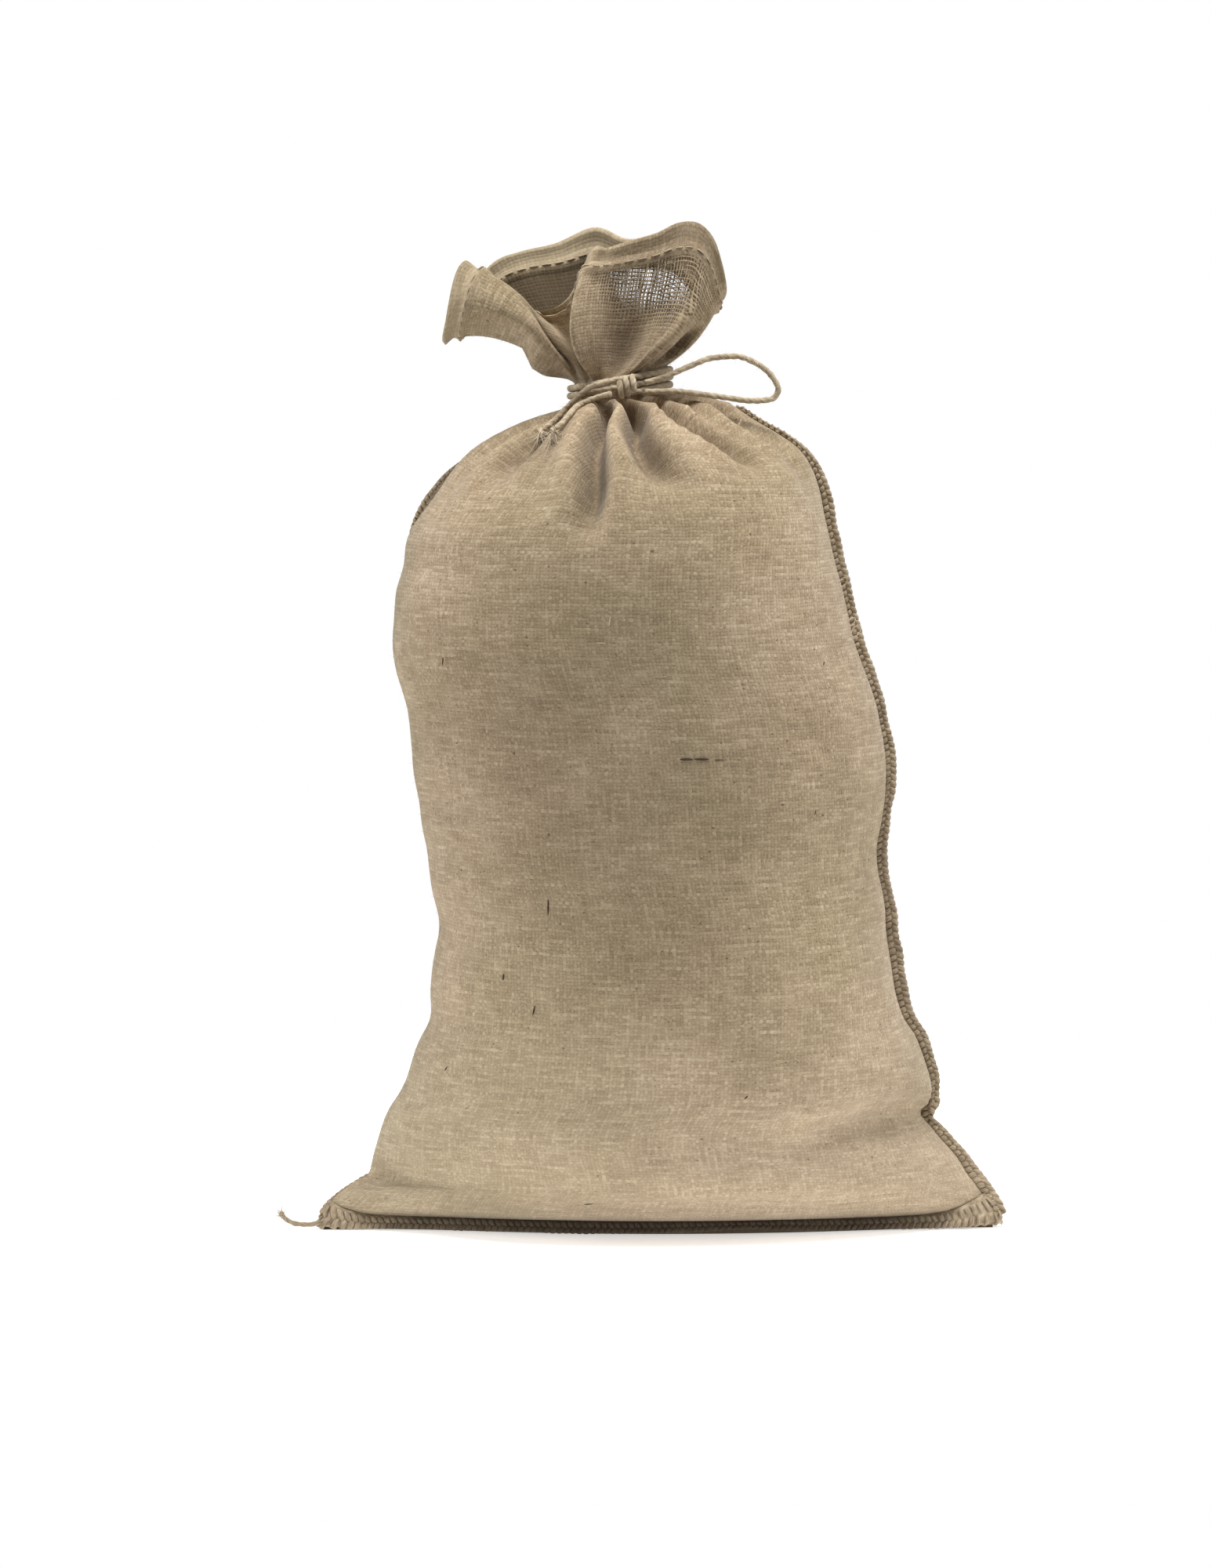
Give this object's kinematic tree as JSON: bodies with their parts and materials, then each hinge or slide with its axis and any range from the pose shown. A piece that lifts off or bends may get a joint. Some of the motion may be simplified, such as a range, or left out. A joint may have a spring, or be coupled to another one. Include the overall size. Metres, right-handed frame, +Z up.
{
  "type": "burlap sack",
  "caption": "Filled burlap sack standing on its foot, its neck gathered and tied with twine under an open, flared mouth.",
  "frame": {"origin": "bottom centre of the bounding box, on the surface that the sack stands on", "axes": "+Z up through the mouth, -Y the front with the knot, +X the sack's side to the viewer's right"},
  "size_m": [0.4472, 0.2628, 0.6156],
  "materials": {
    "hessian": "plain-weave jute cloth, unbleached",
    "seam_yarn": "overcast jute yarn along the sewn selvedges",
    "twine": "twisted jute twine"
  },
  "bodies": {
    "root": {"sack_cloth": "hessian", "side_seam_right": "seam_yarn", "side_seam_left": "seam_yarn", "bottom_seam": "seam_yarn", "tie_wraps": "twine", "tie_knot": "twine", "tie_loop": "twine", "tie_end_long": "twine", "tie_end_short": "twine"}
  },
  "joints": []
}
